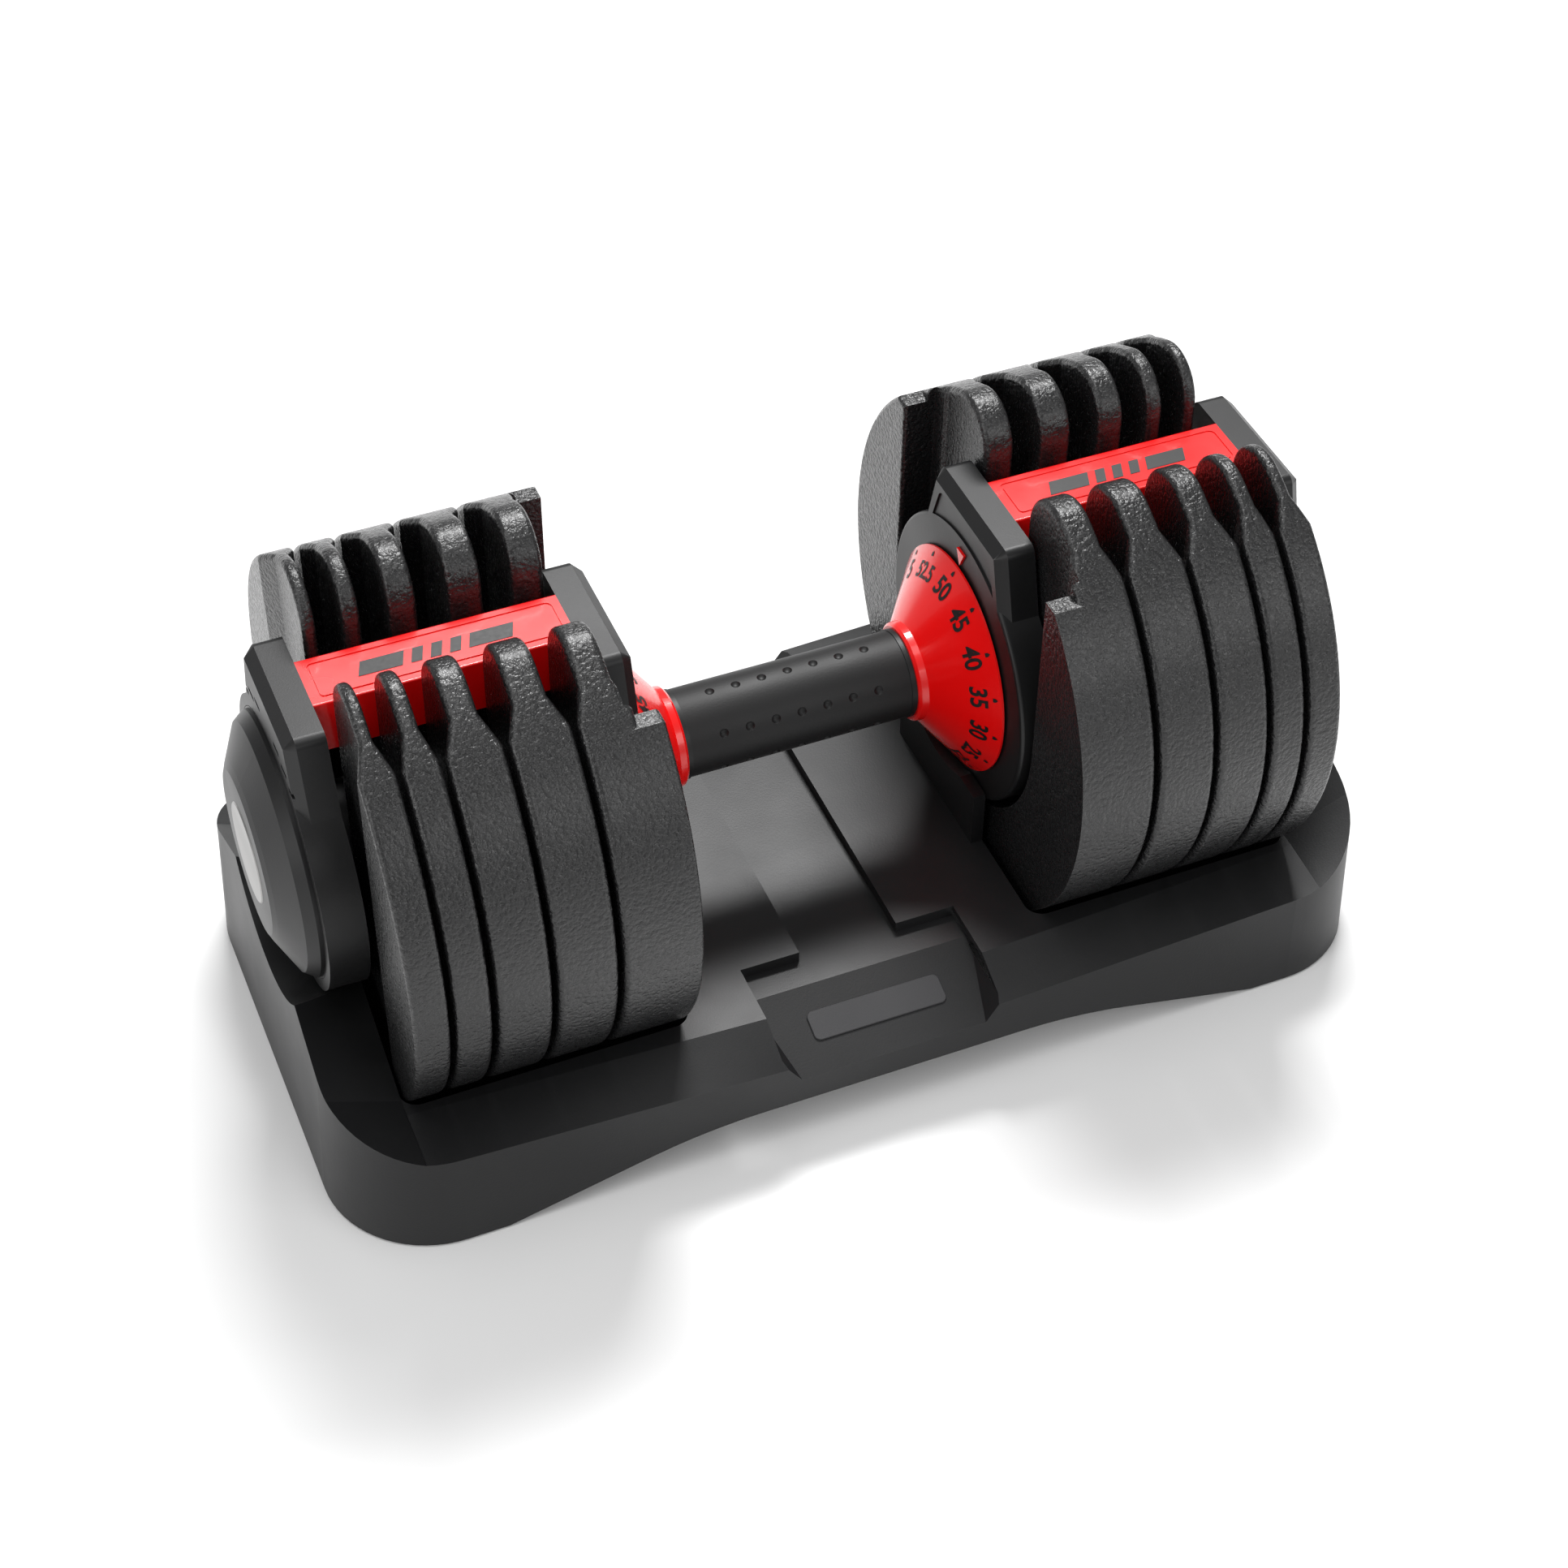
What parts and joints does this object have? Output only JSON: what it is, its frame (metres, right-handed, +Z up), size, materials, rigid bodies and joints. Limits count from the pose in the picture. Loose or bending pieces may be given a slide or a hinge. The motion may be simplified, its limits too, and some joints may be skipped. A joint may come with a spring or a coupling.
{
  "type": "adjustable dumbbell",
  "caption": "Adjustable dumbbell with red weight dials and black cast plates, docked in its black storage tray.",
  "frame": {"origin": "on the ground under the middle of the handle, at the middle of the tray", "axes": "+X along the handle (longest extent), +Z up, -Y towards the front with the badge"},
  "size_m": [0.423, 0.218, 0.2085],
  "materials": {
    "tray_plastic": "satin",
    "rack_plastic": "matte",
    "housing_plastic": "satin",
    "core_plastic": "matte",
    "selector_plastic": "gloss",
    "red_gloss": "gloss",
    "plate_iron": "satin",
    "grip_rubber": "matte",
    "foot_rubber": "matte",
    "fastener_steel": "satin",
    "shaft_steel": "satin",
    "spring_steel": "gloss",
    "bush_brass": "satin",
    "medallion_metal": "satin",
    "badge": "satin"
  },
  "bodies": {
    "tray": {"tray_shell": "tray_plastic", "plate_rack_left": "rack_plastic", "plate_rack_right": "rack_plastic", "rack_screws": "fastener_steel", "release_posts": "rack_plastic", "rubber_feet": "foot_rubber", "badge_plate": "badge", "plate_1_left": "plate_iron", "plate_1_right": "plate_iron"},
    "dumbbell_frame": {"inner_housing_left": "housing_plastic", "inner_housing_right": "housing_plastic", "back_plate_left": "shaft_steel", "back_plate_right": "shaft_steel", "outer_housing_left": "housing_plastic", "outer_housing_right": "housing_plastic", "dome_cap_left": "housing_plastic", "dome_cap_right": "housing_plastic", "medallion_left": "medallion_metal", "medallion_right": "medallion_metal", "plate_cover_left": "red_gloss", "plate_cover_right": "red_gloss", "top_beam_left": "shaft_steel", "top_beam_right": "shaft_steel", "lock_spring_left": "spring_steel", "lock_spring_right": "spring_steel", "shaft_bushes": "bush_brass", "back_plate_screws": "fastener_steel", "beam_dowel_pins": "fastener_steel", "cover_screws": "fastener_steel", "setting_pointers": "red_gloss"},
    "handle": {"hex_shaft": "shaft_steel", "grip_core": "core_plastic", "grip_sleeve": "grip_rubber", "grip_end_rings": "housing_plastic", "shaft_nuts_and_washers": "fastener_steel", "weight_dial_left": "red_gloss", "weight_dial_right": "red_gloss", "lock_ring_left": "core_plastic", "lock_ring_right": "core_plastic", "selector_disc_2_left": "selector_plastic", "selector_disc_2_right": "selector_plastic", "selector_disc_3_left": "selector_plastic", "selector_disc_3_right": "selector_plastic", "selector_disc_4_left": "selector_plastic", "selector_disc_4_right": "selector_plastic", "selector_disc_5_left": "selector_plastic", "selector_disc_5_right": "selector_plastic", "spacer_sleeves_left": "core_plastic", "spacer_sleeves_right": "core_plastic"},
    "plate_2_left_body": {"plate_2_left": "plate_iron"},
    "plate_3_left_body": {"plate_3_left": "plate_iron"},
    "plate_4_left_body": {"plate_4_left": "plate_iron"},
    "plate_5_left_body": {"plate_5_left": "plate_iron"},
    "lock_left": {"lock_pin_left": "shaft_steel"},
    "plate_2_right_body": {"plate_2_right": "plate_iron"},
    "plate_3_right_body": {"plate_3_right": "plate_iron"},
    "plate_4_right_body": {"plate_4_right": "plate_iron"},
    "plate_5_right_body": {"plate_5_right": "plate_iron"},
    "lock_right": {"lock_pin_right": "shaft_steel"}
  },
  "joints": [
    {"name": "lift", "type": "slide", "parent": "tray", "child": "dumbbell_frame", "axis": [0, 0, 1], "range_m": [0, 0.22]},
    {"name": "handle_turn", "type": "hinge", "parent": "dumbbell_frame", "child": "handle", "pos_m": [0, 0, 0.114], "axis": [-1, 0, 0], "range_deg": [-24, 312]},
    {"name": "plate_2_left_lift", "type": "slide", "parent": "tray", "child": "plate_2_left_body", "axis": [0, 0, 1], "range_m": [0, 0.22]},
    {"name": "plate_3_left_lift", "type": "slide", "parent": "tray", "child": "plate_3_left_body", "axis": [0, 0, 1], "range_m": [0, 0.22]},
    {"name": "plate_4_left_lift", "type": "slide", "parent": "tray", "child": "plate_4_left_body", "axis": [0, 0, 1], "range_m": [0, 0.22]},
    {"name": "plate_5_left_lift", "type": "slide", "parent": "tray", "child": "plate_5_left_body", "axis": [0, 0, 1], "range_m": [0, 0.22]},
    {"name": "lock_pin_left_drop", "type": "slide", "parent": "dumbbell_frame", "child": "lock_left", "axis": [0, 0, -1], "range_m": [0, 0.0045], "stiffness_N_per_m": 200, "springref_m": 0.0045, "deforming": ["lock_spring_left"]},
    {"name": "plate_2_right_lift", "type": "slide", "parent": "tray", "child": "plate_2_right_body", "axis": [0, 0, 1], "range_m": [0, 0.22]},
    {"name": "plate_3_right_lift", "type": "slide", "parent": "tray", "child": "plate_3_right_body", "axis": [0, 0, 1], "range_m": [0, 0.22]},
    {"name": "plate_4_right_lift", "type": "slide", "parent": "tray", "child": "plate_4_right_body", "axis": [0, 0, 1], "range_m": [0, 0.22]},
    {"name": "plate_5_right_lift", "type": "slide", "parent": "tray", "child": "plate_5_right_body", "axis": [0, 0, 1], "range_m": [0, 0.22]},
    {"name": "lock_pin_right_drop", "type": "slide", "parent": "dumbbell_frame", "child": "lock_right", "axis": [0, 0, -1], "range_m": [0, 0.0045], "stiffness_N_per_m": 200, "springref_m": 0.0045, "deforming": ["lock_spring_right"]}
  ],
  "couplings": [
    {"joint": "plate_2_left_lift", "follows": "lift", "ratio": 1},
    {"joint": "plate_3_left_lift", "follows": "lift", "ratio": 1},
    {"joint": "plate_4_left_lift", "follows": "lift", "ratio": 1},
    {"joint": "plate_5_left_lift", "follows": "lift", "ratio": 1},
    {"joint": "lock_pin_left_drop", "follows": "lift", "ratio": 0.020455},
    {"joint": "plate_2_right_lift", "follows": "lift", "ratio": 1},
    {"joint": "plate_3_right_lift", "follows": "lift", "ratio": 1},
    {"joint": "plate_4_right_lift", "follows": "lift", "ratio": 1},
    {"joint": "plate_5_right_lift", "follows": "lift", "ratio": 1},
    {"joint": "lock_pin_right_drop", "follows": "lift", "ratio": 0.020455}
  ]
}
